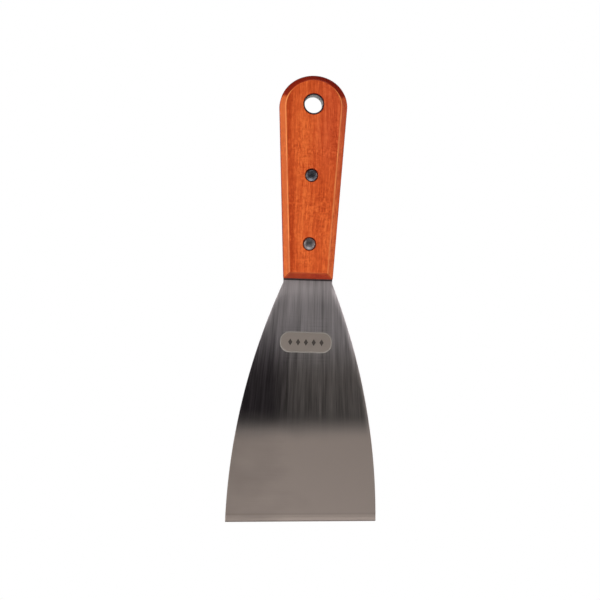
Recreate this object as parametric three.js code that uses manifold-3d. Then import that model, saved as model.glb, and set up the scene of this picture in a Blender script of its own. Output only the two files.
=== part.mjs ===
// A 75 mm drywall knife: a flared steel blade with a full tang, two wooden handle scales, two rivets
// and an eyelet that lines the hanging hole. Millimetres, +Z up along the handle, -Y is the front.
// The origin is the centre of the hanging hole, half way through the tang.

import * as THREE from "three";
import { mergeVertices } from "three/addons/utils/BufferGeometryUtils.js";
import Module from "manifold-3d";

const wasm = await Module();
wasm.setup();

// ---- Driving dimensions ----

const handle = {
  length: 101,
  width: 33.6, // across the spring line of the crown, where it is widest
  endWidth: 24.4, // at the blade end
  crownRise: 15.5, // the round top is half an ellipse this high
  scaleThickness: 7.4, // each wooden half
  chamferWidth: 3,
  chamferDepth: 2.6,
  holeBelowTop: 14.2,
};

const blade = {
  width: 75, // at the edge
  length: 120.7, // from the handle to the middle of the edge
  stock: 1.2, // thickness of the steel
  shoulder: 1.8, // straight length below the handle before the flare starts
  flareRadius: 316, // the long bulging curve of each side
  grindHeight: 45, // the face is ground thinner over this height above the edge
  grindStock: 0.7, // thickness where the edge bevel starts
  bevelHeight: 2.2,
  edgeStock: 0.3,
  edgeSkew: 2, // degrees out of square, with the right-hand corner higher
};

const badge = {
  width: 26,
  height: 10.5,
  cornerRadius: 4.2,
  depth: 0.1,
  belowHandle: 31.4, // from the handle's end to the middle of the badge
};

const rivet = {
  upperBelowTop: 49.5,
  lowerAboveEnd: 17.5,
  headDiameter: 6.2,
  headRim: 0.6, // thickness of the head at its rim
  domeRise: 0.7, // how far the dome stands above the rim
  shankDiameter: 3,
  shankFit: 0.1, // gap round the shank in the sleeve
  shankEndGap: 0.4, // gap between the end of the shank and the bottom of the sleeve
  sleeveWall: 0.6,
  sleeveFit: 0.1, // gap round the sleeve in the wood and the tang
  sleeveEndGap: 0.8, // gap between the sleeve's open end and the stud's head
  headFit: 0.2, // gap round the head in its counterbore
  headSink: 0.1, // the top of the dome lies this far below the wood
};

const eyelet = {
  bore: 9,
  wall: 0.3,
  lipProud: 0.25, // how far the flared lip stands out beyond the tube
  lipThickness: 0.5,
  tubeFit: 0.1, // gap round the tube in the wood and the tang
  lipFit: 0.15, // gap round the lip in its counterbore
  lipSink: 0.4, // the lip lies this far below the wood
};

const smoothness = { crown: 28, flare: 20, badgeCorner: 6, rivet: 32, dome: 4, eyelet: 48 };

// ---- Places worked out from them ----

const topZ = handle.holeBelowTop;
const handleEndZ = topZ - handle.length;
const springZ = topZ - handle.crownRise;
const shoulderZ = handleEndZ - blade.shoulder;
const edgeZ = handleEndZ - blade.length;
const cornerDrop = (blade.width / 2) * Math.tan(THREE.MathUtils.degToRad(blade.edgeSkew));
const badgeZ = handleEndZ - badge.belowHandle;
const tangFaceY = blade.stock / 2;
const handleFaceY = tangFaceY + handle.scaleThickness;
const rivetZs = [topZ - rivet.upperBelowTop, handleEndZ + rivet.lowerAboveEnd];
const headTopY = handleFaceY - rivet.headSink;
const headSeatY = headTopY - rivet.domeRise - rivet.headRim;
const sleeveRadius = rivet.shankDiameter / 2 + rivet.shankFit + rivet.sleeveWall;
const tubeRadius = eyelet.bore / 2 + eyelet.wall;
const lipRadius = tubeRadius + eyelet.lipProud;
const lipTopY = handleFaceY - eyelet.lipSink;
const lipSeatY = lipTopY - eyelet.lipThickness;
const past = 1; // how far a cutting tool runs past the surface that it cuts

// ---- Materials ----

const metal = (color, roughness) => new THREE.MeshStandardMaterial({ color, roughness, metalness: 1 });

const bladeSteel = metal(0x8a8580, 0.38);
const rivetSteel = metal(0x6f7679, 0.2);
const eyeletSteel = metal(0x8c9090, 0.3);
const handleWood = new THREE.MeshStandardMaterial({ color: 0xd0592b, roughness: 0.4, metalness: 0 });

// ---- Solids ----

// Each plane's own X, Y and extrusion directions, given in the part's axes.
const axisX = new THREE.Vector3(1, 0, 0);
const axisY = new THREE.Vector3(0, 1, 0);
const axisZ = new THREE.Vector3(0, 0, 1);
const frontPlane = new THREE.Matrix4().makeBasis(axisX, axisZ, axisY.clone().negate());
// The side view turns about the middle of the edge, so that grind and bevel run along the skewed edge.
const sidePlane = new THREE.Matrix4()
  .makeTranslation(0, 0, edgeZ)
  .multiply(new THREE.Matrix4().makeRotationY(-THREE.MathUtils.degToRad(blade.edgeSkew)))
  .multiply(new THREE.Matrix4().makeTranslation(0, 0, -edgeZ))
  .multiply(new THREE.Matrix4().makeBasis(axisY, axisZ, axisX));

function toManifold(geometry) {
  const bare = geometry.clone();
  bare.deleteAttribute("normal");
  bare.deleteAttribute("uv");
  const merged = mergeVertices(bare, 1e-4);
  return new wasm.Manifold(
    new wasm.Mesh({
      numProp: 3,
      vertProperties: new Float32Array(merged.attributes.position.array),
      triVerts: new Uint32Array(merged.index.array),
    }),
  );
}

function toGeometry(solid) {
  const mesh = solid.getMesh();
  const geometry = new THREE.BufferGeometry();
  geometry.setAttribute("position", new THREE.BufferAttribute(mesh.vertProperties, 3));
  geometry.setIndex(new THREE.BufferAttribute(mesh.triVerts, 1));
  return geometry;
}

// A flat outline made into a slab whose mid-plane lies at middle, along the plane's own normal.
function slab(outline, thickness, middle, plane, options = {}) {
  const geometry = new THREE.ExtrudeGeometry(outline, { depth: thickness, bevelEnabled: false, ...options });
  geometry.translate(0, 0, middle - thickness / 2);
  geometry.applyMatrix4(plane);
  return toManifold(geometry);
}

// A profile of [radius, y] pairs turned about the Y axis, then moved up to height z.
function turned(profile, z, segments) {
  const points = profile.map(([radius, y]) => new THREE.Vector2(radius, y));
  const geometry = new THREE.LatheGeometry(points, segments);
  geometry.translate(0, 0, z);
  return toManifold(geometry);
}

// A plug along Y, from y = from to y = to.
function plug(radius, from, to, z, segments) {
  return turned([[0, from], [radius, from], [radius, to], [0, to]], z, segments);
}

// ---- Outlines ----

// The centre of the flare on the right, on the inner side of the line from the shoulder to the edge's corner.
function flareCentre() {
  const shoulder = new THREE.Vector2(handle.endWidth / 2, shoulderZ);
  const corner = new THREE.Vector2(blade.width / 2, edgeZ);
  const chord = corner.clone().sub(shoulder);
  const inward = new THREE.Vector2(chord.y, -chord.x).normalize();
  const depth = Math.sqrt(blade.flareRadius ** 2 - (chord.length() / 2) ** 2);
  return shoulder.add(corner).multiplyScalar(0.5).addScaledVector(inward, depth);
}

// The crown of the handle, from its right spring point over the top to the left one.
function addCrown(outline) {
  outline.lineTo(handle.width / 2, springZ);
  outline.absellipse(0, springZ, handle.width / 2, handle.crownRise, 0, Math.PI, false);
}

function handleOutline() {
  const outline = new THREE.Shape();
  outline.moveTo(-handle.endWidth / 2, handleEndZ);
  outline.lineTo(handle.endWidth / 2, handleEndZ);
  addCrown(outline);
  outline.closePath();
  return outline;
}

// It runs on past the edge, where the skewed side view trims it.
function bladeOutline() {
  const centre = flareCentre();
  const angleAt = (z) => Math.asin((z - centre.y) / blade.flareRadius);
  const low = angleAt(edgeZ - cornerDrop - past);
  const high = angleAt(shoulderZ);
  const outline = new THREE.Shape();
  outline.absarc(centre.x, centre.y, blade.flareRadius, low, high, false);
  outline.lineTo(handle.endWidth / 2, handleEndZ);
  addCrown(outline);
  outline.lineTo(-handle.endWidth / 2, handleEndZ);
  outline.lineTo(-handle.endWidth / 2, shoulderZ);
  outline.absarc(-centre.x, centre.y, blade.flareRadius, Math.PI - high, Math.PI - low, false);
  outline.closePath();
  return outline;
}

// The blade seen from its side: even stock, then the grind, then the bevel at the edge.
function bladeThicknessOutline() {
  const outline = new THREE.Shape();
  outline.moveTo(-blade.edgeStock / 2, edgeZ);
  outline.lineTo(blade.edgeStock / 2, edgeZ);
  outline.lineTo(blade.grindStock / 2, edgeZ + blade.bevelHeight);
  outline.lineTo(blade.stock / 2, edgeZ + blade.grindHeight);
  outline.lineTo(blade.stock / 2, topZ + past);
  outline.lineTo(-blade.stock / 2, topZ + past);
  outline.lineTo(-blade.stock / 2, edgeZ + blade.grindHeight);
  outline.lineTo(-blade.grindStock / 2, edgeZ + blade.bevelHeight);
  outline.closePath();
  return outline;
}

function badgeOutline() {
  const radius = badge.cornerRadius;
  const x = badge.width / 2 - radius;
  const rise = badge.height / 2 - radius;
  const outline = new THREE.Shape();
  outline.absarc(x, badgeZ - rise, radius, -Math.PI / 2, 0, false);
  outline.absarc(x, badgeZ + rise, radius, 0, Math.PI / 2, false);
  outline.absarc(-x, badgeZ + rise, radius, Math.PI / 2, Math.PI, false);
  outline.absarc(-x, badgeZ - rise, radius, Math.PI, Math.PI * 1.5, false);
  outline.closePath();
  return outline;
}

// ---- Sub-parts ----

// The holes through wood and steel alike for the sleeves of both rivets and the tube of the eyelet.
function throughHoles() {
  const end = handleFaceY + past;
  const tubeHole = plug(tubeRadius + eyelet.tubeFit, -end, end, 0, smoothness.eyelet);
  return rivetZs.reduce(
    (holes, z) => holes.add(plug(sleeveRadius + rivet.sleeveFit, -end, end, z, smoothness.rivet)),
    tubeHole,
  );
}

function makeBlade() {
  const steel = slab(bladeOutline(), blade.stock + 2 * past, 0, frontPlane, {
    curveSegments: smoothness.flare,
  });
  const thickness = slab(bladeThicknessOutline(), blade.width + 2 * past, 0, sidePlane);
  const recess = slab(badgeOutline(), 2 * badge.depth, tangFaceY, frontPlane, {
    curveSegments: smoothness.badgeCorner,
  });
  return steel.intersect(thickness).subtract(throughHoles()).subtract(recess);
}

// Both scales are cut from one chamfered block, which the tang's slot divides in two.
function makeScale(side) {
  const block = slab(handleOutline(), 2 * (handleFaceY - handle.chamferDepth), 0, frontPlane, {
    curveSegments: smoothness.crown,
    bevelEnabled: true,
    bevelSegments: 1,
    bevelSize: handle.chamferWidth,
    bevelThickness: handle.chamferDepth,
    bevelOffset: -handle.chamferWidth,
  });
  const half = new THREE.BoxGeometry(handle.width * 2, handle.scaleThickness + past, handle.length * 3);
  half.translate(0, side * (tangFaceY + (handle.scaleThickness + past) / 2), 0);
  const outer = side * (handleFaceY + past);
  const counterbore = (radius, seat, z, segments) =>
    plug(radius, Math.min(side * seat, outer), Math.max(side * seat, outer), z, segments);
  const headHoles = rivetZs.map((z) =>
    counterbore(rivet.headDiameter / 2 + rivet.headFit, headSeatY, z, smoothness.rivet),
  );
  const lipHole = counterbore(lipRadius + eyelet.lipFit, lipSeatY, 0, smoothness.eyelet);
  return [throughHoles(), lipHole, ...headHoles].reduce(
    (wood, hole) => wood.subtract(hole),
    block.intersect(toManifold(half)),
  );
}

// The round top of a rivet's head as [radius, height above the seat], from the rim to the axis.
function domeProfile() {
  const rise = rivet.domeRise;
  const rim = rivet.headDiameter / 2;
  const radius = (rim ** 2 + rise ** 2) / (2 * rise);
  const rimAngle = Math.asin(rim / radius);
  const steps = Array.from({ length: smoothness.dome + 1 }, (_, i) => rimAngle * (1 - i / smoothness.dome));
  return steps.map((angle) => [
    radius * Math.sin(angle),
    rivet.headRim + rise - radius * (1 - Math.cos(angle)),
  ]);
}

// The female half: its head lies in the back scale and its tube reaches through the tang into the front one.
function makeRivetSleeve(z) {
  const bore = rivet.shankDiameter / 2 + rivet.shankFit;
  const openEnd = -(headSeatY - rivet.sleeveEndGap);
  const profile = [
    [bore, headSeatY],
    [bore, openEnd],
    [sleeveRadius, openEnd],
    [sleeveRadius, headSeatY],
    [rivet.headDiameter / 2, headSeatY],
    ...domeProfile().map(([radius, height]) => [radius, headSeatY + height]),
  ];
  return turned([[0, headSeatY], ...profile], z, smoothness.rivet);
}

// The male half: its head lies in the front scale and its shank is driven into the sleeve.
function makeRivetStud(z) {
  const shankEnd = headSeatY - rivet.shankEndGap;
  const dome = domeProfile().map(([radius, height]) => [radius, -headSeatY - height]);
  const profile = [
    ...dome.reverse(),
    [rivet.headDiameter / 2, -headSeatY],
    [rivet.shankDiameter / 2, -headSeatY],
    [rivet.shankDiameter / 2, shankEnd],
    [0, shankEnd],
  ];
  return turned(profile, z, smoothness.rivet);
}

function makeEyelet() {
  const bore = eyelet.bore / 2;
  const profile = [
    [bore, -lipTopY],
    [lipRadius, -lipTopY],
    [lipRadius, -lipSeatY],
    [tubeRadius, -lipSeatY],
    [tubeRadius, lipSeatY],
    [lipRadius, lipSeatY],
    [lipRadius, lipTopY],
    [bore, lipTopY],
    [bore, -lipTopY],
  ];
  return turned(profile, 0, smoothness.eyelet);
}

// ---- Assembly ----

function named(name, solid, material) {
  const mesh = new THREE.Mesh(toGeometry(solid), material);
  mesh.name = name;
  return mesh;
}

const knife = new THREE.Group();
knife.add(named("blade", makeBlade(), bladeSteel));
knife.add(named("front_scale", makeScale(-1), handleWood));
knife.add(named("back_scale", makeScale(1), handleWood));
["upper", "lower"].forEach((place, i) => {
  knife.add(named(`${place}_rivet_stud`, makeRivetStud(rivetZs[i]), rivetSteel));
  knife.add(named(`${place}_rivet_sleeve`, makeRivetSleeve(rivetZs[i]), rivetSteel));
});
knife.add(named("hanging_eyelet", makeEyelet(), eyeletSteel));

export default knife;
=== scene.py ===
# A 75 mm drywall knife: a ground steel blade with a full tang, two lacquered wooden scales,
# two rivets with a stud and a sleeve each, and a steel eyelet in the hanging hole.
import math

import bmesh
import bpy
from mathutils import Matrix, Vector


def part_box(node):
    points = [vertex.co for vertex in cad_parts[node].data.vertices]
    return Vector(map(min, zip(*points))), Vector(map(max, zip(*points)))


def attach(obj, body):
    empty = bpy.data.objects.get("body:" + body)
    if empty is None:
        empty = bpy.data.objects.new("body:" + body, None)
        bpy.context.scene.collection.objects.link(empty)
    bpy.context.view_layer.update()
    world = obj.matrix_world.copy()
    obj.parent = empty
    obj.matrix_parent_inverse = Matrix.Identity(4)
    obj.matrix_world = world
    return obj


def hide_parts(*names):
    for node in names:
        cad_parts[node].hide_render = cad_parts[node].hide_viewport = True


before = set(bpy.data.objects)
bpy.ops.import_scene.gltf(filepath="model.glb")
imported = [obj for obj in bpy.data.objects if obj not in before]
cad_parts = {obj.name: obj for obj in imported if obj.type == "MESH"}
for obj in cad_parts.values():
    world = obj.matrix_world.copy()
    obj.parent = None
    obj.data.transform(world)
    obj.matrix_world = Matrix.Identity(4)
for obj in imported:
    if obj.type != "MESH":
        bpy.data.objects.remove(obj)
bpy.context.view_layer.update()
print("frame loaded:", len(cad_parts), "nodes")

mm = 0.001               # pieces are shaped in millimetres and brought to metres when they are finished
same = 0.0005            # points closer than this are one point
clear = 0.01             # a point further than this from a plane doesn't lie on it
flatBelow = 20           # degrees: a gentler bend than this is part of a curve
squareFrom = 60          # degrees: a bend from here up is a corner
past = 1                 # a cutter runs this far past the surface that it cuts


def boxInMm(node):
    low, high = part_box(node)
    return low / mm, high / mm


scaleLow, scaleHigh = boxInMm("front_scale")
bladeHigh = boxInMm("blade")[1]
eyeletHigh = boxInMm("hanging_eyelet")[1]
handleEndZ = scaleLow.z
topZ = scaleHigh.z
halfHandle = scaleHigh.x
handleFaceY = -scaleLow.y
tangFaceY = bladeHigh.y
handleForm = {
    "endWidth": 24.4,
    "crownRise": 15.5,        # the round top is half an ellipse this high
    "crownSteps": 26,
}
springZ = topZ - handleForm["crownRise"]
handleTaper = (halfHandle - handleForm["endWidth"] / 2) / (springZ - handleEndZ)


# The pen runs on from a vertex: straight to a point, or round a centre by some degrees.
def lineTo(bm, vert, point):
    after = bmesh.ops.extrude_vert_indiv(bm, verts=[vert])["verts"][0]
    after.co = point
    return after


def vertsOf(geom):
    return [item for item in geom if isinstance(item, bmesh.types.BMVert)]


def facesOf(geom):
    return [item for item in geom if isinstance(item, bmesh.types.BMFace)]


def arcRound(bm, vert, centre, axis, degrees, steps):
    arc = bmesh.ops.spin(bm, geom=[vert], cent=centre, axis=axis, angle=math.radians(degrees), steps=steps)
    return vertsOf(arc["geom_last"])[0]


def turnRoundY(bm, z, steps):
    bmesh.ops.spin(bm, geom=bm.verts[:] + bm.edges[:], cent=(0, 0, z), axis=(0, 1, 0),
                   angle=2 * math.pi, steps=steps, use_merge=True)
    bmesh.ops.remove_doubles(bm, verts=bm.verts[:], dist=same)
    bmesh.ops.recalc_face_normals(bm, faces=bm.faces[:])


def easeEdges(bm, edges, width, segments):
    bmesh.ops.bevel(bm, geom=edges, offset=width, offset_type='OFFSET', affect='EDGES', segments=segments,
                    profile=0.5, material=-1, clamp_overlap=True)


def sharpEdges(bm, degrees):
    least = math.radians(degrees)
    return [edge for edge in bm.edges if edge.is_manifold and edge.calc_face_angle() > least]


def pieceFrom(bm, name, *materials):
    mesh = bpy.data.meshes.new(name)
    bm.to_mesh(mesh)
    bm.free()
    for material in materials:
        mesh.materials.append(material)
    piece = bpy.data.objects.new(name, mesh)
    bpy.context.scene.collection.objects.link(piece)
    return piece


# The cut faces keep the cutter's own material.
def cutAway(piece, cutter):
    cut = piece.modifiers.new("cut", 'BOOLEAN')
    cut.operation = 'DIFFERENCE'
    cut.solver = 'EXACT'
    cut.material_mode = 'TRANSFER'
    cut.object = cutter
    graph = bpy.context.evaluated_depsgraph_get()
    result = bpy.data.meshes.new_from_object(piece.evaluated_get(graph))
    piece.modifiers.clear()
    piece.data = result
    bpy.data.objects.remove(cutter)


# Brings a piece to metres, shades it and ties it to the model.
def finishPiece(piece, node):
    piece.data.transform(Matrix.Scale(mm, 4))
    piece.data.polygons.foreach_set("use_smooth", [True] * len(piece.data.polygons))
    piece.data.set_sharp_from_angle(angle=math.radians(32))      # a gentler bend looks round
    even = piece.modifiers.new("evenNormals", 'WEIGHTED_NORMAL')
    even.mode = 'FACE_AREA'
    even.keep_sharp = True
    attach(piece, "root")
    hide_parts(node)
    print("made", piece.name, len(piece.data.polygons), "faces")


# A material and the short words that its nodes are joined up with.
class Shader:
    def __init__(self, name):
        self.material = bpy.data.materials.new(name)
        self.material.use_nodes = True
        self.tree = self.material.node_tree
        self.surface = self.tree.nodes["Principled BSDF"]
        self.place = self.add("ShaderNodeTexCoord")

    def add(self, kind, **settings):
        made = self.tree.nodes.new(kind)
        for key, value in settings.items():
            setattr(made, key, value)
        return made

    def put(self, value, socket):
        if isinstance(value, bpy.types.NodeSocket):
            self.tree.links.new(value, socket)
        else:
            socket.default_value = value

    # Object coordinates in millimetres
    def coords(self):
        scaled = self.add("ShaderNodeVectorMath", operation='SCALE')
        self.put(self.place.outputs["Object"], scaled.inputs[0])
        self.put(1 / mm, scaled.inputs["Scale"])
        return scaled.outputs[0]

    # The way that the surface faces, along the piece's own axes
    def facing(self):
        return self.split(self.place.outputs["Normal"])

    def maths(self, operation, *values):
        made = self.add("ShaderNodeMath", operation=operation)
        for value, socket in zip(values, made.inputs):
            self.put(value, socket)
        return made.outputs[0]

    def times(self, first, *others):
        for other in others:
            first = self.maths('MULTIPLY', first, other)
        return first

    def plus(self, first, *others):
        for other in others:
            first = self.maths('ADD', first, other)
        return first

    def minus(self, first, other):
        return self.maths('SUBTRACT', first, other)

    # value * share + rest
    def blend(self, value, share, rest):
        return self.maths('MULTIPLY_ADD', value, share, rest)

    def absolute(self, value):
        return self.maths('ABSOLUTE', value)

    def split(self, vector):
        made = self.add("ShaderNodeSeparateXYZ")
        self.put(vector, made.inputs[0])
        return made.outputs

    def join(self, x, y, z):
        made = self.add("ShaderNodeCombineXYZ")
        for value, socket in zip((x, y, z), made.inputs):
            self.put(value, socket)
        return made.outputs[0]

    # Noise whose grains are about size millimetres in x, y and z
    def noise(self, vector, size, detail=2.0, roughness=0.5, shift=(0, 0, 0)):
        turned = self.add("ShaderNodeMapping")
        self.put(vector, turned.inputs["Vector"])
        turned.inputs["Location"].default_value = shift
        turned.inputs["Scale"].default_value = [1 / length for length in size]
        made = self.add("ShaderNodeTexNoise")
        self.put(turned.outputs[0], made.inputs["Vector"])
        made.inputs["Scale"].default_value = 1
        made.inputs["Detail"].default_value = detail
        made.inputs["Roughness"].default_value = roughness
        return made.outputs["Fac"]

    # From toLow below low to toHigh above high, with a soft way between
    def step(self, value, low, high, toLow=0.0, toHigh=1.0):
        made = self.add("ShaderNodeMapRange", interpolation_type='SMOOTHSTEP')
        self.put(value, made.inputs["Value"])
        made.inputs["From Min"].default_value = low
        made.inputs["From Max"].default_value = high
        made.inputs["To Min"].default_value = toLow
        made.inputs["To Max"].default_value = toHigh
        return made.outputs[0]

    def ramp(self, factor, *stops):
        made = self.add("ShaderNodeValToRGB")
        self.put(factor, made.inputs[0])
        while len(made.color_ramp.elements) < len(stops):
            made.color_ramp.elements.new(0.5)
        for element, (position, colour) in zip(made.color_ramp.elements, stops):
            element.position = position
            element.color = (*colour, 1)
        return made.outputs[0]

    def mix(self, factor, a, b, blend='MIX'):
        made = self.add("ShaderNodeMix", data_type='RGBA', blend_type=blend)
        self.put(factor, made.inputs["Factor"])
        for value, socket in ((a, made.inputs[6]), (b, made.inputs[7])):
            self.put(value if isinstance(value, bpy.types.NodeSocket) else (*value, 1), socket)
        return made.outputs[2]

    # Multiplies a colour by another one, by the share given
    def tint(self, share, colour, tone):
        return self.mix(share, colour, tone, 'MULTIPLY')

    # Multiplies a colour by one level in red, green and blue
    def dim(self, colour, level):
        return self.tint(1.0, colour, self.join(level, level, level))

    def bump(self, height, deep, strength=1.0):
        made = self.add("ShaderNodeBump")
        self.put(height, made.inputs["Height"])
        made.inputs["Distance"].default_value = deep * mm
        made.inputs["Strength"].default_value = strength
        self.put(made.outputs[0], self.surface.inputs["Normal"])

    def set(self, **values):
        for key, value in values.items():
            self.put(value, self.surface.inputs[key.replace("_", " ")])


# A soft step goes from its third number to its fourth, or else from 0 to 1, between its first two.
# A pattern has the size of its grains across, through and along in mm, its detail, roughness and shift.
wood = {
    "deep": (0.49, 0.055, 0.009),
    "middle": (0.70, 0.104, 0.022),
    "pale": (0.90, 0.185, 0.042),
    "paintedLitChamfer": (0.78, 0.175, 0.036),     # the side chamfers, painted paler as if lit
    # painted highlight along the inner arris
    "arrisHighlight": (1.0, 0.31, 0.085),
    "endGrain": (0.52, 0.26, 0.18),
    "crown": (0.78, 0.42, 0.26),        # darker still round the top
    "flush": (0.95, 0.90, 1.18),        # a redder area high on the right
    "endShadow": (0.02, 0.01, 0.008),     # painted shadow: the dark line at the blade end
    "endShadowHeights": (0.1, 0.5, 0.8, 0),
    "wander": ((14, 14, 40), 1),
    "wanderWidth": 5.0,
    # breaks up the painted arris highlight
    "highlightBreakup": ((7, 7, 12), 2, 0.6, (3, 3, 8)),
    "patterns": {
        "bands": ((5, 6, 130), 1),
        "streaks": ((1.1, 1.6, 26), 3, 0.6, (7, 2, 5)),
        "fibre": ((0.28, 0.4, 7), 2, 0.6, (3, 9, 1)),
        "mottle": ((2.6, 2.6, 3.6), 3, 0.6, (1, 4, 8)),
        "flecks": ((0.7, 0.8, 2.2), 2, 0.6, (9, 3, 4)),
        "ripple": ((1.7, 1.7, 1.0), 1, 0.5, (2, 7, 3)),
        "pores": ((0.45, 0.6, 3.4), 1, 0.5, (5, 5, 2)),
        "crowding": ((6, 6, 9), 1, 0.5, (4, 8, 5)),
        "patches": ((9, 9, 15), 1, 0.5, (6, 1, 7)),
    },
    "shares": {"bands": 0.55, "streaks": 0.85, "fibre": 0.7, "mottle": 0.55},
    "fleckShare": 0.75,
    "rippleShare": 0.45,
    "stripeShare": 0.14,
    "darkBandShare": -0.16,
    # soft steps over a pattern
    "poreLevel": (0.60, 0.72),
    "crowdLevel": (0.42, 0.62, 0.10, 0.45),
    "patchLevel": (0.36, 0.64, 0.3, 1.4),
    "highlightLevel": (0.36, 0.60, 0.5, 1.0),
    # soft steps along z, x, and in from the handle's side
    "figureFades": (-22, 2, 1, 0.4),
    "crownTone": (-8, 6, 0, -0.07),
    "lowEndTone": (-60, -38, 0.09, 0),
    "flushHigh": (-48, -12),
    "crownStart": (-1, 1),
    "lowEndRight": (-3, 3),
    "flushRight": (-3, 8),
    "stripeLeft": (-11, -5),
    "stripeRight": (-4, 9, 1, 0),
    "darkBandLeft": (-2, 2, 1, 0.35),
    "paintedLitChamferLeft": (-2, 2, 0.6, 0.1),
    "darkBandOutside": (2.6, 3.6),
    "darkBandInside": (4.0, 6.4, 1, 0),
    # soft steps over how far the surface faces outwards: 1 on the face, 0.76 on the chamfers and 0 on
    # the sides
    "paintedLitChamferFrom": (0.55, 0.70),
    "paintedLitChamferTo": (0.80, 0.88, 1, 0),
    "arrisFrom": (0.77, 0.84),
    "arrisTo": (0.93, 0.995, 1, 0),
    # painted shade on the outer arris and the side walls
    "rimFacing": (0.30, 0.66, 0.7, 0),
    "chamferFacing": (0.3, 0.6),
    # and over how far it faces up or down
    "endChamferFacing": (0.20, 0.30),
    "endWallFacing": (0.1, 1.0, 0, 0.8),
}


def makeWood():
    shader = Shader("lacqueredWood")
    at = shader.coords()
    x, y, z = shader.split(at)
    # the grain wanders a little across as it runs along the handle
    wander = shader.blend(shader.noise(at, *wood["wander"]), wood["wanderWidth"], -wood["wanderWidth"] / 2)
    grain = shader.join(shader.plus(x, wander), y, z)
    made = {name: shader.noise(grain, *pattern) for name, pattern in wood["patterns"].items()}
    # the pores crowd together in patches, and the figure fades towards the round top
    pores = shader.step(made["pores"], *wood["poreLevel"])
    fading = shader.step(z, *wood["figureFades"])
    crowded = shader.times(shader.step(made["crowding"], *wood["crowdLevel"]), fading)
    # the ripples are strong in some places and faint in others
    fleckShare, rippleShare = wood["fleckShare"], wood["rippleShare"]
    ripples = shader.blend(made["ripple"], rippleShare, -(fleckShare + rippleShare) / 2)
    ripples = shader.blend(made["flecks"], fleckShare, ripples)
    patches = shader.times(shader.step(made["patches"], *wood["patchLevel"]), fading)
    tone = shader.blend(ripples, patches, 0.5 - sum(wood["shares"].values()) / 2)
    for name, share in wood["shares"].items():
        tone = shader.blend(made[name], share, tone)
    # a paler stripe left of the middle, and a darker band just inside the arrises on the left
    stripe = shader.times(shader.step(x, *wood["stripeLeft"]), shader.step(x, *wood["stripeRight"]))
    tone = shader.blend(stripe, wood["stripeShare"], tone)
    fromSide = shader.blend(z, handleTaper, halfHandle - springZ * handleTaper)
    fromSide = shader.minus(fromSide, shader.absolute(x))
    darkBand = shader.times(shader.step(fromSide, *wood["darkBandOutside"]),
                            shader.step(fromSide, *wood["darkBandInside"]),
                            shader.step(x, *wood["darkBandLeft"]))
    tone = shader.blend(darkBand, wood["darkBandShare"], tone)
    # a little redder up in the crown, and paler low on the right
    lowRight = shader.times(shader.step(z, *wood["lowEndTone"]), shader.step(x, *wood["lowEndRight"]))
    tone = shader.plus(tone, shader.step(z, *wood["crownTone"]), lowRight)
    colour = shader.ramp(tone, (0.2, wood["deep"]), (0.5, wood["middle"]), (0.8, wood["pale"]))
    colour = shader.mix(shader.times(pores, crowded), colour, wood["deep"])
    flush = shader.times(shader.step(x, *wood["flushRight"]), shader.step(z, *wood["flushHigh"]))
    colour = shader.tint(flush, colour, wood["flush"])
    # the chamfers are painted paler, mostly on the left: painted light where the lamps on that side fall
    facing = shader.facing()
    outward = shader.absolute(facing[1])
    paintedLitChamfer = shader.times(shader.step(outward, *wood["paintedLitChamferFrom"]),
                          shader.step(outward, *wood["paintedLitChamferTo"]),
                          shader.step(x, *wood["paintedLitChamferLeft"]))
    colour = shader.mix(paintedLitChamfer, colour, wood["paintedLitChamfer"])
    # a painted highlight along the inner arris, broken up in places, and painted shade on the outer arris
    # and the side walls
    paintedSheen = shader.noise(at, *wood["highlightBreakup"])
    arris = shader.times(shader.step(outward, *wood["arrisFrom"]),
                         shader.step(outward, *wood["arrisTo"]),
                         shader.step(paintedSheen, *wood["highlightLevel"]))
    colour = shader.mix(arris, colour, wood["arrisHighlight"])
    # painted shade: the outer arris and the side walls are darker
    colour = shader.tint(shader.step(outward, *wood["rimFacing"]), colour, wood["endGrain"])
    # end grain drinks more stain, on the round crown and on the blade end: all at once on the chamfer,
    # and little by little on the side walls
    upward = shader.absolute(facing[2])
    onChamfer = shader.step(outward, *wood["chamferFacing"])
    onWall = shader.minus(1.0, onChamfer)
    endGrain = shader.plus(shader.times(onChamfer, shader.step(upward, *wood["endChamferFacing"])),
                           shader.times(onWall, shader.step(upward, *wood["endWallFacing"])))
    colour = shader.tint(endGrain, colour, wood["endGrain"])
    crown = shader.times(endGrain, shader.step(z, *wood["crownStart"]))
    colour = shader.tint(crown, colour, wood["crown"])
    # painted shadow where the handle meets the blade
    endShadow = shader.step(shader.plus(z, -handleEndZ), *wood["endShadowHeights"])
    colour = shader.mix(endShadow, colour, wood["endShadow"])
    shader.set(Base_Color=colour, Coat_Weight=0.12, Coat_Roughness=0.2, Specular_IOR_Level=0.15)
    shader.set(Roughness=shader.blend(made["streaks"], 0.2, 0.4))
    shader.bump(shader.blend(pores, -0.6, shader.times(made["fibre"], 0.5)), 0.05, 0.6)
    return shader.material


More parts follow.
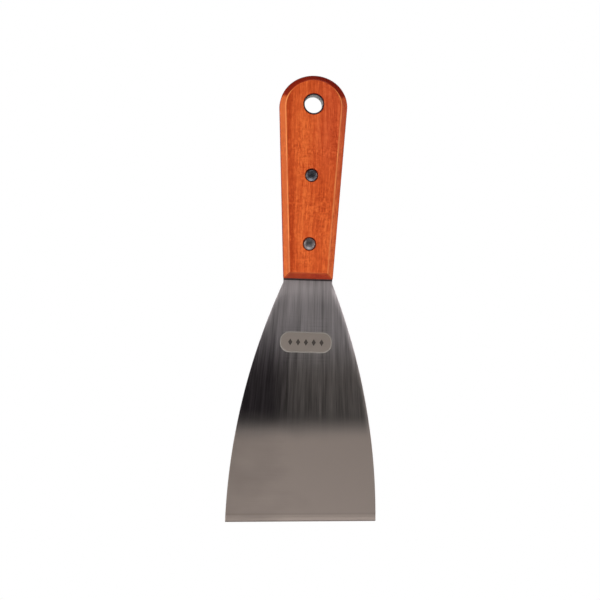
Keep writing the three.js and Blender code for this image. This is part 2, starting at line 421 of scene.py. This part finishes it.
# Steps and patterns are written as for the wood.
steel = {
    # the upper face is painted paler near the handle and darker lower down: a painted reflection, over a
    # real satin finish near the handle and a polish below
    "satinPaintedLight": (0.53, 0.495, 0.52),
    "polished": (0.335, 0.303, 0.297),
    "paintedLeftShade": (0.30, 0.29, 0.33),       # painted shade, darkest on the left
    "lower": (0.345, 0.296, 0.275),     # the ground face
    "polishStart": 46.0,      # the ground face ends at this height above the edge
    "polishSoft": 7.0,
    "polishSlant": 1.0,       # degrees more than the edge, rising to the right
    "waver": ((16, 16, 40), 2),
    "waverHeight": 3.0,
    "contactShadow": (-0.9, -0.4, 1, 0.15),   # painted shadow: the dark line against the handle
    # brush strokes
    "fanCentre": 150,         # they fan out from a point this far above the hanging hole
    "fanEven": 90,            # and have their own width this far below it
    "wide": ((3.2, 9, 70), 2, 0.6),
    "strokes": ((1.0, 9, 45), 4, 0.65, (4, 1, 2)),
    "fine": ((0.25, 9, 16), 2, 0.6, (8, 1, 6)),
    "wideShare": 0.3,
    "strokeShare": 0.45,
    "fineShare": 0.25,
    "contrast": (-130, -100, 4.0, 2.5),
    "contrastEnd": (-159, -149, 0.15, 1.0),
    "darkest": 0.3,
    "brightest": 1.7,
    # a patch of faint lines across, round the panel
    "crossing": ((24, 9, 0.3), 2, 0.6, (5, 2, 9)),
    "crossingLow": (-139, -124),
    "crossingHigh": (-112, -100, 1, 0),
    "crossingSides": (5, 16, 0.7, 0),
    "paintedLightFade": (-138, -112),
    "leftShadeSide": (-19, 1, 1, 0),
    "leftShadeRagged": 8.0,        # the strokes break up the border of the painted shade by this much
    "leftShadeHigh": (-138, -98, 1, 0),
    "leftShadeLow": (-164, -151),
    # a painted sheen along the long sides, stronger on the right
    "sheenWidth": (0.2, 2.8, 1, 0),
    "sheenHigh": (-94, -89, 1, 0),
    "sheenRight": (-5, 5),
    "sheenLeft": (-125, -95, 0.0, 0.6),
    "sheenPaler": 0.35,
    "sheenRougher": 0.10,
    # the ground face
    "ground": ((30, 9, 0.14), 2, 0.6, (2, 2, 2)),
    "groundShare": 0.10,
    "clouds": ((22, 9, 12), 2, 0.5, (6, 3, 1)),
    "cloudShare": 0.20,
    # painted shade: the ground face darker on the left and paler on the right
    "lowerShadeAcross": (-34, 38, -0.07, 0.10),
    # the honed strip along the edge, the darker line above it and a darker strip at the very edge below it
    "strip": (3.0, 3.5, 1.12, 1.0),
    "lineFrom": (3.2, 3.8),
    "lineTo": (3.8, 4.7, 1, 0),
    "lineDepth": -0.10,
    "darkerEdge": (0.3, 0.9, 0.55, 1.0),
    # how rough: rougher towards the handle
    "lowerRough": 0.52,
    "polishRough": 0.27,
    "strokeRough": 0.06,
    "roughRise": (-160, -92, 0, 0.12),
    "satinRough": (-101, -88, 0, 0.13),
}


# How far inside the blade's curved side a point is, in millimetres.
def insideRim(shader, x, z):
    centre = flareCentre()
    down = shader.plus(z, -centre.z)
    square = shader.blend(down, shader.times(down, -1.0), bladeForm["flareRadius"] ** 2)
    reach = shader.maths('SQRT', square)
    return shader.minus(shader.plus(reach, centre.x), shader.absolute(x))


def makeBladeSteel():
    shader = Shader("brushedBladeSteel")
    at = shader.coords()
    x, y, z = shader.split(at)
    fromEdge = shader.plus(z, -edgeZ)
    height = shader.blend(x, -math.tan(math.radians(bladeForm["edgeSkew"])), fromEdge)
    slope = math.tan(math.radians(bladeForm["edgeSkew"] + steel["polishSlant"]))
    waver = shader.noise(at, *steel["waver"])
    waver = shader.blend(waver, steel["waverHeight"], -steel["waverHeight"] / 2)
    start, soft = steel["polishStart"], steel["polishSoft"]
    above = shader.plus(shader.blend(x, -slope, fromEdge), waver)
    polished = shader.step(above, start - soft, start + soft)
    # brush strokes along the blade, fanning out with its sides
    fanned = shader.maths('DIVIDE', shader.times(x, steel["fanCentre"] + steel["fanEven"]),
                          shader.minus(steel["fanCentre"], z))
    brushed = shader.join(fanned, y, z)
    strokes = shader.noise(brushed, *steel["strokes"])
    fine = shader.noise(brushed, *steel["fine"])
    level = shader.blend(shader.noise(brushed, *steel["wide"]), steel["wideShare"], -0.5)
    level = shader.blend(strokes, steel["strokeShare"], level)
    level = shader.blend(fine, steel["fineShare"], level)
    contrast = shader.times(shader.step(z, *steel["contrast"]), shader.step(z, *steel["contrastEnd"]))
    crossing = shader.times(shader.plus(shader.noise(at, *steel["crossing"]), -0.5),
                            shader.step(z, *steel["crossingLow"]), shader.step(z, *steel["crossingHigh"]),
                            shader.step(shader.absolute(x), *steel["crossingSides"]))
    level = shader.blend(level, contrast, shader.plus(crossing, 1.0))
    level = shader.maths('MINIMUM', shader.maths('MAXIMUM', level, steel["darkest"]), steel["brightest"])
    # painted reflection: paler near the handle, darker lower down
    upper = shader.mix(shader.step(z, *steel["paintedLightFade"]), steel["polished"], steel["satinPaintedLight"])
    upper = shader.dim(upper, level)
    # painted shade on the left of the upper face, with a ragged border
    leftward = shader.plus(x, shader.blend(strokes, steel["leftShadeRagged"], -steel["leftShadeRagged"] / 2))
    paintedLeftShade = shader.times(shader.step(leftward, *steel["leftShadeSide"]), shader.step(z, *steel["leftShadeHigh"]),
                          shader.step(z, *steel["leftShadeLow"]))
    upper = shader.tint(paintedLeftShade, upper, steel["paintedLeftShade"])
    # painted sheen along the long sides
    sides = shader.maths('MAXIMUM', shader.step(x, *steel["sheenRight"]),
                         shader.step(z, *steel["sheenLeft"]))
    paintedSheen = shader.times(shader.step(insideRim(shader, x, z), *steel["sheenWidth"]),
                          shader.step(z, *steel["sheenHigh"]), sides)
    upper = shader.dim(upper, shader.blend(paintedSheen, steel["sheenPaler"], 1.0))
    # faint lines across, left by the grinding wheel
    ground = shader.noise(at, *steel["ground"])
    shade = shader.blend(shader.noise(at, *steel["clouds"]), steel["cloudShare"], 0.85)
    shade = shader.blend(ground, steel["groundShare"], shade)
    # painted shade: darker on the left, paler on the right
    shade = shader.plus(shade, shader.step(x, *steel["lowerShadeAcross"]))
    lower = shader.tint(1.0, steel["lower"], shader.ramp(shade, (0.8, (0.8,) * 3), (1.2, (1.2,) * 3)))
    line = shader.times(shader.step(height, *steel["lineFrom"]), shader.step(height, *steel["lineTo"]))
    honed = shader.blend(line, steel["lineDepth"], shader.step(height, *steel["strip"]))
    lower = shader.dim(lower, shader.times(honed, shader.step(height, *steel["darkerEdge"])))
    colour = shader.mix(polished, lower, upper)
    # painted shadow along the handle end
    colour = shader.dim(colour, shader.step(shader.plus(z, -handleEndZ), *steel["contactShadow"]))
    shader.set(Base_Color=colour, Metallic=1.0)
    rough = shader.blend(strokes, steel["strokeRough"], steel["polishRough"] - steel["lowerRough"])
    rough = shader.plus(rough, shader.step(z, *steel["roughRise"]), shader.step(z, *steel["satinRough"]))
    rough = shader.blend(paintedSheen, steel["sheenRougher"], rough)
    shader.set(Roughness=shader.blend(polished, rough, steel["lowerRough"]))
    relief = shader.times(polished, shader.blend(fine, 0.5, strokes))
    shader.bump(shader.blend(ground, 0.15, relief), 0.02, 0.5)
    return shader.material


# colour and roughness
etched = {
    "etchedPanel": ((0.42, 0.372, 0.345), 0.55),
    "etchedRim": ((0.58, 0.55, 0.53), 0.5),
    "etchedMark": ((0.13, 0.115, 0.11), 0.6),
}


def makeEtchedSteel(name):
    tone, roughness = etched[name]
    shader = Shader(name)
    at = shader.coords()
    frost = shader.noise(at, (0.12, 0.12, 0.12), 2, 0.6)
    cloud = shader.noise(at, (4, 4, 4), 2)
    level = shader.blend(frost, 0.25, shader.times(cloud, 0.4))
    colour = shader.ramp(level, (0.1, [part * 0.8 for part in tone]), (0.6, tone))
    shader.set(Base_Color=colour, Metallic=1.0)
    shader.set(Roughness=shader.blend(cloud, 0.1, roughness))
    shader.bump(frost, 0.01, 0.5)
    return shader.material


# from and to colour, and roughness
nickel = {
    # the two heads are the same nickel: the upper is painted darker and the lower paler, painted shade and
    # painted light for what each reflects
    "shadedRivetNickel": ((0.10, 0.10, 0.13), (0.32, 0.33, 0.38), 0.20),
    "litRivetNickel": ((0.20, 0.18, 0.20), (0.43, 0.40, 0.41), 0.27),
}


def makeRivetNickel(name):
    dark, light, roughness = nickel[name]
    shader = Shader(name)
    at = shader.coords()
    smudge = shader.noise(at, (1.1, 1.1, 1.1), 3, 0.6)
    scuffs = shader.noise(at, (0.35, 0.35, 1.4), 2, 0.6)
    level = shader.blend(scuffs, 0.4, shader.times(smudge, 0.6))
    shader.set(Base_Color=shader.ramp(level, (0.38, dark), (0.62, light)), Metallic=1.0)
    shader.set(Roughness=shader.blend(smudge, 0.2, roughness))
    shader.bump(level, 0.09, 0.5)
    return shader.material


plating = {
    "dull": (0.62, 0.62, 0.62),
    "bright": (0.78, 0.78, 0.78),
    "lip": (0.12, 0.12, 0.14),          # painted shade: the lips are darker than the bright bore
    "lipFacing": (0.15, 0.6),
}


def makeEyeletSteel():
    shader = Shader("platedEyeletSteel")
    at = shader.coords()
    drawn = shader.noise(at, (0.2, 3, 0.2), 3, 0.6)
    cloud = shader.noise(at, (3, 3, 3), 2)
    tone = shader.ramp(cloud, (0.3, plating["dull"]), (0.7, plating["bright"]))
    # painted shade on the lips
    lip = shader.step(shader.absolute(shader.facing()[1]), *plating["lipFacing"])
    shader.set(Base_Color=shader.mix(lip, tone, plating["lip"]), Metallic=1.0)
    shader.set(Roughness=shader.blend(drawn, 0.2, 0.3))
    shader.bump(drawn, 0.02, 0.4)
    return shader.material


# The right half of the handle's outline, which the tang and both scales share, from the top of the
# crown down to the blade end. It returns the last vertex.
def drawHandleHalf(bm):
    spring = bm.verts.new((halfHandle, 0, springZ))
    arcRound(bm, spring, (0, 0, springZ), (0, 1, 0), -90, handleForm["crownSteps"])
    flatten = (1, 1, handleForm["crownRise"] / halfHandle)
    bmesh.ops.scale(bm, vec=flatten, space=Matrix.Translation((0, 0, -springZ)), verts=bm.verts[:])
    return lineTo(bm, spring, (handleForm["endWidth"] / 2, 0, handleEndZ))


# Mirrors a half outline and fills it.
def fillBothHalves(bm):
    bmesh.ops.mirror(bm, geom=bm.verts[:] + bm.edges[:], matrix=Matrix.Identity(4),
                     merge_dist=2 * same, axis='X')
    return bmesh.ops.contextual_create(bm, geom=bm.edges[:])["faces"][0]


bladeForm = {
    "edgeWidth": 75,
    "length": 120.7,          # from the handle to the middle of the edge
    "shoulder": 1.8,          # straight below the handle before the flare
    "flareRadius": 316,
    "flareSteps": 40,
    "flareOverrun": 1.03,     # the curve runs a little past the edge's corner, to be trimmed
    "edgeSkew": 2.0,          # degrees out of square, the right corner higher
    "grindHeight": 45,
    "grindStock": 0.7,
    "bevelHeight": 2.2,
    "edgeStock": 0.3,
    "rimEase": 0.34,
    "rimSteps": 2,
    "sleeveHole": 2.3,        # radius
    "sleeveHoleSteps": 40,
    "tubeHole": 4.9,
    "tubeHoleSteps": 64,
}
panelForm = {
    "width": 26,
    "height": 10.5,
    "cornerRadius": 4.7,
    "cornerSteps": 10,
    "depth": 0.1,
    "rimWidth": 0.55,         # a groove runs round the panel
    "rimDepth": 0.05,         # how much deeper the groove is
    "rimSlope": 0.12,         # width of its sloped inner wall
    "belowHandle": 31.4,
    "diamonds": 5,
    "diamondPitch": 3.9,
    "diamondHalf": (1.05, 1.7),
    "diamondDepth": 0.08,
}
edgeZ = handleEndZ - bladeForm["length"]
shoulderZ = handleEndZ - bladeForm["shoulder"]
panelZ = handleEndZ - panelForm["belowHandle"]
rivetNodes = {"upper": "upper_rivet_stud", "lower": "lower_rivet_stud"}
rivetZ = {place: (boxInMm(node)[0].z + boxInMm(node)[1].z) / 2 for place, node in rivetNodes.items()}


def heightAboveEdge(point):
    skew = math.radians(bladeForm["edgeSkew"])
    return (point.z - edgeZ) * math.cos(skew) - point.x * math.sin(skew)


# The chord of the right-hand flare runs from the shoulder to the edge's corner.
def flareChord():
    shoulder = Vector((handleForm["endWidth"] / 2, 0, shoulderZ))
    return shoulder, Vector((bladeForm["edgeWidth"] / 2, 0, edgeZ)) - shoulder


def flareCentre():
    shoulder, chord = flareChord()
    inward = Vector((chord.z, 0, -chord.x)).normalized()
    reach = math.sqrt(bladeForm["flareRadius"] ** 2 - (chord.length / 2) ** 2)
    return shoulder + chord / 2 + inward * reach


# Draws the right-hand flare, down past the edge's corner.
def drawFlare(bm, start):
    chord = flareChord()[1]
    sweep = 2 * math.degrees(math.asin(chord.length / 2 / bladeForm["flareRadius"]))
    sweep *= bladeForm["flareOverrun"]
    return arcRound(bm, start, flareCentre(), (0, 1, 0), sweep, bladeForm["flareSteps"])


def bladeThickness(height):
    if height < bladeForm["bevelHeight"]:
        share = max(height, 0) / bladeForm["bevelHeight"]
        return bladeForm["edgeStock"] + share * (bladeForm["grindStock"] - bladeForm["edgeStock"])
    ground = bladeForm["grindHeight"] - bladeForm["bevelHeight"]
    share = min((height - bladeForm["bevelHeight"]) / ground, 1)
    return bladeForm["grindStock"] + share * (2 * tangFaceY - bladeForm["grindStock"])


def makeHoleCutter(radius, z, steps):
    bm = bmesh.new()
    vert = bm.verts.new((0, -handleFaceY, z))
    for corner in ((radius, -handleFaceY, z), (radius, handleFaceY, z), (0, handleFaceY, z)):
        vert = lineTo(bm, vert, corner)
    turnRoundY(bm, z, steps)
    return pieceFrom(bm, "holeCutter", brushedSteel)


# A shallow panel with round corners, and a groove round it that is a little deeper.
def makePanelCutter():
    radius, steps = panelForm["cornerRadius"], panelForm["cornerSteps"]
    right = panelForm["width"] / 2
    high = panelForm["height"] / 2
    bm = bmesh.new()
    vert = bm.verts.new((0, -past, high))
    vert = lineTo(bm, vert, (right - radius, -past, high))
    vert = arcRound(bm, vert, (right - radius, -past, high - radius), (0, 1, 0), 90, steps)
    vert = lineTo(bm, vert, (right, -past, radius - high))
    vert = arcRound(bm, vert, (right - radius, -past, radius - high), (0, 1, 0), 90, steps)
    lineTo(bm, vert, (0, -past, -high))
    bmesh.ops.remove_doubles(bm, verts=bm.verts[:], dist=same)
    face = fillBothHalves(bm)
    bottom = bmesh.ops.extrude_face_region(bm, geom=[face])["geom"]
    grooveY = -tangFaceY + panelForm["depth"] + panelForm["rimDepth"]
    bmesh.ops.translate(bm, vec=(0, past + grooveY, 0), verts=vertsOf(bottom))
    bmesh.ops.recalc_face_normals(bm, faces=bm.faces[:])
    floor = facesOf(bottom)
    groove = bmesh.ops.inset_region(bm, faces=floor, thickness=panelForm["rimWidth"], use_even_offset=True)
    for face in groove["faces"]:
        face.material_index = 1
    bmesh.ops.inset_region(bm, faces=floor, thickness=panelForm["rimSlope"], depth=-panelForm["rimDepth"],
                           use_even_offset=True)
    bmesh.ops.translate(bm, vec=(0, 0, panelZ), verts=bm.verts[:])
    return pieceFrom(bm, "panelCutter", etchedPanel, etchedRim)


# A plain row of diamonds, sunk a little into the panel.
def makeDiamondCutter():
    halfWide, halfHigh = panelForm["diamondHalf"]
    bottomY = -tangFaceY + panelForm["depth"] + panelForm["diamondDepth"]
    count = panelForm["diamonds"]
    bm = bmesh.new()
    for i in range(count):
        x = (i - (count - 1) / 2) * panelForm["diamondPitch"]
        made = bmesh.ops.create_cone(bm, cap_ends=True, segments=4, radius1=1, radius2=1, depth=1)
        shape = Matrix.Translation((x, bottomY - 0.5, panelZ)) @ Matrix.Diagonal((halfWide, 1, halfHigh, 1))
        shape = shape @ Matrix.Rotation(math.radians(90), 4, 'X')
        bmesh.ops.transform(bm, matrix=shape, verts=made["verts"])
    return pieceFrom(bm, "diamondCutter", etchedMark)


def makeBlade():
    bm = bmesh.new()
    end = drawHandleHalf(bm)
    shoulder = lineTo(bm, end, (handleForm["endWidth"] / 2, 0, shoulderZ))
    tip = drawFlare(bm, shoulder)
    lineTo(bm, tip, (0, 0, tip.co.z))
    fillBothHalves(bm)
    # trimmed along the skewed edge, and divided where the bevel and the grind start
    skew = math.radians(bladeForm["edgeSkew"])
    up = Vector((-math.sin(skew), 0, math.cos(skew)))
    for height, trims in ((0, True), (bladeForm["bevelHeight"], False), (bladeForm["grindHeight"], False)):
        bmesh.ops.bisect_plane(bm, geom=bm.verts[:] + bm.edges[:] + bm.faces[:], dist=0.0001,
                               plane_co=Vector((0, 0, edgeZ)) + up * height, plane_no=up, clear_inner=trims)
    bmesh.ops.translate(bm, vec=(0, -tangFaceY, 0), verts=bm.verts[:])
    back = bmesh.ops.extrude_face_region(bm, geom=bm.faces[:])["geom"]
    bmesh.ops.translate(bm, vec=(0, 2 * tangFaceY, 0), verts=vertsOf(back))
    bmesh.ops.recalc_face_normals(bm, faces=bm.faces[:])
    easeEdges(bm, sharpEdges(bm, squareFrom), bladeForm["rimEase"], bladeForm["rimSteps"])
    for vert in bm.verts:
        vert.co.y *= bladeThickness(heightAboveEdge(vert.co)) / (2 * tangFaceY)
    blade = pieceFrom(bm, "finishedBlade", brushedSteel)
    cutAway(blade, makePanelCutter())
    cutAway(blade, makeDiamondCutter())
    cutAway(blade, makeHoleCutter(bladeForm["tubeHole"], 0, bladeForm["tubeHoleSteps"]))
    for z in rivetZ.values():
        cutAway(blade, makeHoleCutter(bladeForm["sleeveHole"], z, bladeForm["sleeveHoleSteps"]))
    finishPiece(blade, "blade")


scaleForm = {
    "chamferWidth": 3.0,
    "chamferDepth": 2.6,
    "arrisEase": 0.6,
    "arrisSteps": 3,
    "crownChamfer": 2.1,      # the chamfer is narrower round the top
    # the rivets' and the eyelet's stepped holes
    "headHole": 3.3,
    "headSeatY": 6.6,
    "headHoleSteps": 48,
    "lipHole": 5.2,
    "lipSeatY": 7.1,
    "lipHoleSteps": 64,
    "mouthEase": 0.18,
}


# A stepped hole whose mouth is eased where it meets the face.
def makeCounterbore(side, z, shaft, mouth, seatY, steps):
    ease = scaleForm["mouthEase"]
    bm = bmesh.new()
    vert = bm.verts.new((0, 0, z))
    corners = [(shaft, 0), (shaft, seatY), (mouth, seatY), (mouth, handleFaceY - ease),
               (mouth + ease + past, handleFaceY + past), (0, handleFaceY + past)]
    for radius, depth in corners:
        vert = lineTo(bm, vert, (radius, side * depth, z))
    turnRoundY(bm, z, steps)
    return pieceFrom(bm, "counterbore", lacqueredWood)


def makeScale(node, name, side):
    bm = bmesh.new()
    end = drawHandleHalf(bm)
    lineTo(bm, end, (0, 0, handleEndZ))
    face = fillBothHalves(bm)
    bmesh.ops.translate(bm, vec=(0, side * tangFaceY, 0), verts=bm.verts[:])
    outer = bmesh.ops.extrude_face_region(bm, geom=[face])["geom"]
    wall = handleFaceY - tangFaceY - scaleForm["chamferDepth"]
    bmesh.ops.translate(bm, vec=(0, side * wall, 0), verts=vertsOf(outer))
    bmesh.ops.recalc_face_normals(bm, faces=bm.faces[:])
    front = facesOf(outer)
    bmesh.ops.inset_region(bm, faces=front, thickness=scaleForm["chamferWidth"],
                           depth=scaleForm["chamferDepth"], use_even_offset=True)
    # the face reaches further up into the crown
    full = handleForm["crownRise"] - scaleForm["chamferWidth"]
    reach = (handleForm["crownRise"] - scaleForm["crownChamfer"]) / full
    crown = [v for v in front[0].verts if v.co.z > springZ + clear]
    bmesh.ops.scale(bm, vec=(1, 1, reach), space=Matrix.Translation((0, 0, -springZ)), verts=crown)
    arrises = [e for e in sharpEdges(bm, flatBelow)
               if min(abs(v.co.y) for v in e.verts) > tangFaceY + clear]
    corners = [e for e in sharpEdges(bm, squareFrom)
               if abs(e.verts[0].co.y - e.verts[1].co.y) > 1 and e not in arrises]
    easeEdges(bm, arrises + corners, scaleForm["arrisEase"], scaleForm["arrisSteps"])
    scale = pieceFrom(bm, name, lacqueredWood)
    for z in rivetZ.values():
        cutAway(scale, makeCounterbore(side, z, bladeForm["sleeveHole"], scaleForm["headHole"],
                                       scaleForm["headSeatY"], scaleForm["headHoleSteps"]))
    cutAway(scale, makeCounterbore(side, 0, bladeForm["tubeHole"], scaleForm["lipHole"],
                                   scaleForm["lipSeatY"], scaleForm["lipHoleSteps"]))
    finishPiece(scale, node)


rivetForm = {
    "domeRise": 0.7,
    "domeSteps": 10,
    "headRim": 0.6,           # thickness of the head at its rim
    "shankRadius": 1.5,
    "sleeveBore": 1.6,        # radius
    "sleeveRadius": 2.2,
    "rimEase": 0.14,
    "steps": 64,
}


# Draws a head from the top of its dome to the underside of its rim.
def drawDome(bm, side, headTop, headRadius, z):
    rise = rivetForm["domeRise"]
    radius = (headRadius ** 2 + rise ** 2) / (2 * rise)
    sweep = math.degrees(math.asin(headRadius / radius))
    vert = bm.verts.new((0, side * headTop, z))
    centre = (0, side * (headTop - radius), z)
    vert = arcRound(bm, vert, centre, (0, 0, 1), -side * sweep, rivetForm["domeSteps"])
    return lineTo(bm, vert, (headRadius, side * (headTop - rise - rivetForm["headRim"]), z))


def finishTurned(bm, node, name, z, steps, ease, material):
    turnRoundY(bm, z, steps)
    easeEdges(bm, sharpEdges(bm, 35), ease, 3)
    # two eased edges may meet and leave a strip of no width between them
    bmesh.ops.remove_doubles(bm, verts=bm.verts[:], dist=same)
    bmesh.ops.recalc_face_normals(bm, faces=bm.faces[:])
    finishPiece(pieceFrom(bm, name, material), node)


def finishRivet(bm, place, half):
    name = "finished" + place.capitalize() + "Rivet" + half.capitalize()
    finishTurned(bm, place + "_rivet_" + half, name, rivetZ[place], rivetForm["steps"],
                 rivetForm["rimEase"], rivetNickel[place])


def makeRivetStud(place):
    low, high = boxInMm(rivetNodes[place])
    z = rivetZ[place]
    bm = bmesh.new()
    rim = drawDome(bm, -1, -low.y, high.x, z)
    vert = lineTo(bm, rim, (rivetForm["shankRadius"], rim.co.y, z))
    vert = lineTo(bm, vert, (rivetForm["shankRadius"], high.y, z))
    lineTo(bm, vert, (0, high.y, z))
    finishRivet(bm, place, "stud")


def makeRivetSleeve(place):
    low, high = boxInMm(place + "_rivet_sleeve")
    z = rivetZ[place]
    bm = bmesh.new()
    vert = drawDome(bm, 1, high.y, high.x, z)
    seatY = vert.co.y
    tube, bore = rivetForm["sleeveRadius"], rivetForm["sleeveBore"]
    for radius, y in ((tube, seatY), (tube, low.y), (bore, low.y), (bore, seatY), (0, seatY)):
        vert = lineTo(bm, vert, (radius, y, z))
    finishRivet(bm, place, "sleeve")


eyeletForm = {
    "boreRadius": 4.5,
    "tubeRadius": 4.8,
    "lipThickness": 0.5,
    "lipEase": 0.125,         # half of what the lip stands out beyond the tube
    "steps": 96,
}


def makeEyelet():
    lipY = eyeletHigh.y
    seatY = lipY - eyeletForm["lipThickness"]
    bore, tube, lip = eyeletForm["boreRadius"], eyeletForm["tubeRadius"], eyeletHigh.x
    bm = bmesh.new()
    first = bm.verts.new((bore, -lipY, 0))
    vert = first
    for radius, y in ((lip, -lipY), (lip, -seatY), (tube, -seatY), (tube, seatY), (lip, seatY), (lip, lipY),
                      (bore, lipY)):
        vert = lineTo(bm, vert, (radius, y, 0))
    bm.edges.new((vert, first))
    finishTurned(bm, "hanging_eyelet", "finishedHangingEyelet", 0, eyeletForm["steps"],
                 eyeletForm["lipEase"], eyeletSteel)


lacqueredWood = makeWood()
brushedSteel = makeBladeSteel()
etchedPanel = makeEtchedSteel("etchedPanel")
etchedRim = makeEtchedSteel("etchedRim")
etchedMark = makeEtchedSteel("etchedMark")
rivetNickel = {"upper": makeRivetNickel("shadedRivetNickel"), "lower": makeRivetNickel("litRivetNickel")}
eyeletSteel = makeEyeletSteel()
print("materials made")

makeBlade()
makeScale("front_scale", "finishedFrontScale", -1)
makeScale("back_scale", "finishedBackScale", 1)
for place in ("upper", "lower"):
    makeRivetStud(place)
    makeRivetSleeve(place)
makeEyelet()

# lengths in metres
studio = {
    "floorZ": -0.45,
    "floorRadius": 1.15,
    "floorGlow": 0.35,
    "floorFade": (0.15, 0.80),     # the glow rises to full between these distances from the middle
    "backdrop": 1.0,          # how bright the space behind the knife looks
    "ambient": 0.10,          # the light that it gives
    "cardBehindCamera": 1.30,
    "cardWidth": 0.85,
    "cardHeight": 0.75,
}
# place, width and height in metres, brightness and colour
softboxes = {
    "farLeft": ((-0.85, -0.14, -0.03), 0.50, 0.64, 0.4, (1, 0.94, 0.86)),
    "keyLeft": ((-0.80, -0.46, 0.06), 0.42, 0.70, 5.2, (1, 0.94, 0.86)),
    "keyRight": ((0.80, -0.46, 0.00), 0.42, 0.70, 3.0, (1, 0.95, 0.88)),
    "farRight": ((0.85, -0.14, -0.03), 0.50, 0.64, 0.3, (1, 0.95, 0.88)),
    "above": ((0.05, -0.42, 0.76), 0.60, 0.26, 3.6, (0.95, 0.98, 1)),
    "below": ((-0.06, -0.46, -0.44), 0.24, 0.12, 3.5, (1, 0.96, 0.90)),
    "behindLeft": ((0.55, 0.85, 0.20), 0.50, 0.60, 2.5, (1, 0.97, 0.92)),
    "behindRight": ((-0.65, 0.80, 0.00), 0.40, 0.60, 1.6, (0.95, 0.98, 1)),
}
knifeMiddle = Vector((0, 0, (topZ + edgeZ) / 2 * mm))


def addSoftbox(name, place, width, height, brightness, colour):
    lamp = bpy.data.lights.new(name, 'AREA')
    lamp.shape = 'RECTANGLE'
    lamp.size = width
    lamp.size_y = height
    lamp.color = colour
    lamp.energy = brightness * width * height * math.pi      # watts for that radiance
    softbox = bpy.data.objects.new(name, lamp)
    softbox.location = place
    softbox.rotation_euler = (knifeMiddle - Vector(place)).to_track_quat('-Z', 'Y').to_euler()
    bpy.context.scene.collection.objects.link(softbox)


for name, settings in softboxes.items():
    addSoftbox(name, *settings)

world = bpy.data.worlds.new("studio")
bpy.context.scene.world = world
world.use_nodes = True
light = world.node_tree.nodes["Background"]
rays = world.node_tree.nodes.new("ShaderNodeLightPath")
level = world.node_tree.nodes.new("ShaderNodeMapRange")
level.inputs["To Min"].default_value = studio["ambient"]
level.inputs["To Max"].default_value = studio["backdrop"]
world.node_tree.links.new(rays.outputs["Is Camera Ray"], level.inputs["Value"])
world.node_tree.links.new(level.outputs[0], light.inputs["Strength"])
light.inputs["Color"].default_value = (1, 1, 1, 1)

# a round floor of pale paper that fades into the backdrop, but lights the knife evenly
bm = bmesh.new()
bmesh.ops.create_circle(bm, cap_ends=True, segments=96, radius=studio["floorRadius"])
bmesh.ops.translate(bm, vec=(0, 0, studio["floorZ"]), verts=bm.verts[:])
paper = Shader("paleFloor")
across, along = paper.split(paper.place.outputs["Object"])[:2]
fromMiddle = paper.maths('SQRT', paper.blend(across, across, paper.times(along, along)))
glow = studio["floorGlow"]
more = paper.step(fromMiddle, *studio["floorFade"], 0, studio["backdrop"] - glow)
seen = paper.blend(paper.add("ShaderNodeLightPath").outputs["Is Camera Ray"], more, glow)
paper.set(Base_Color=(0.82, 0.82, 0.82, 1), Roughness=0.8, Specular_IOR_Level=0.0)
paper.set(Emission_Color=(1, 1, 1, 1), Emission_Strength=seen)
pieceFrom(bm, "floor", paper.material)

# a black card behind the camera keeps the polished steel dark
bm = bmesh.new()
bmesh.ops.create_grid(bm, x_segments=1, y_segments=1, size=0.5)
bmesh.ops.scale(bm, vec=(studio["cardWidth"], studio["cardHeight"], 1), verts=bm.verts[:])
bmesh.ops.rotate(bm, matrix=Matrix.Rotation(math.radians(90), 3, 'X'), verts=bm.verts[:])
bmesh.ops.translate(bm, vec=knifeMiddle - Vector((0, studio["cardBehindCamera"], 0)), verts=bm.verts[:])
felt = Shader("blackCard")
felt.set(Base_Color=(0.01, 0.01, 0.01, 1), Roughness=1.0, Specular_IOR_Level=0.0)
card = pieceFrom(bm, "blackCard", felt.material)
card.visible_camera = False
print("studio lit")

cameraForm = {
    "distance": 1.15,         # m
    "lens": 138.5,            # mm
    "lean": 1.78,             # degrees that the knife leans to the right
    "aside": 3.59,            # the knife's middle is this far to the right of the view's, in mm
    "above": 0.45,
    "turn": -1.8,             # degrees round to the left of the knife's own front
}
lean = math.radians(cameraForm["lean"])
turn = Matrix.Rotation(math.radians(cameraForm["turn"]), 3, 'Z')
facing = turn @ Matrix.Rotation(math.radians(90), 3, 'X') @ Matrix.Rotation(lean, 3, 'Z')
lens = bpy.data.cameras.new("camera")
lens.lens = cameraForm["lens"]
lens.clip_start = 0.05
lens.clip_end = 20
camera = bpy.data.objects.new("camera", lens)
bpy.context.scene.collection.objects.link(camera)
bpy.context.scene.camera = camera
offset = Vector((cameraForm["aside"] * mm, cameraForm["above"] * mm, -cameraForm["distance"]))
camera.location = knifeMiddle - facing @ offset
camera.rotation_euler = facing.to_euler()
bpy.context.scene.view_settings.view_transform = 'Standard'
print("camera set")
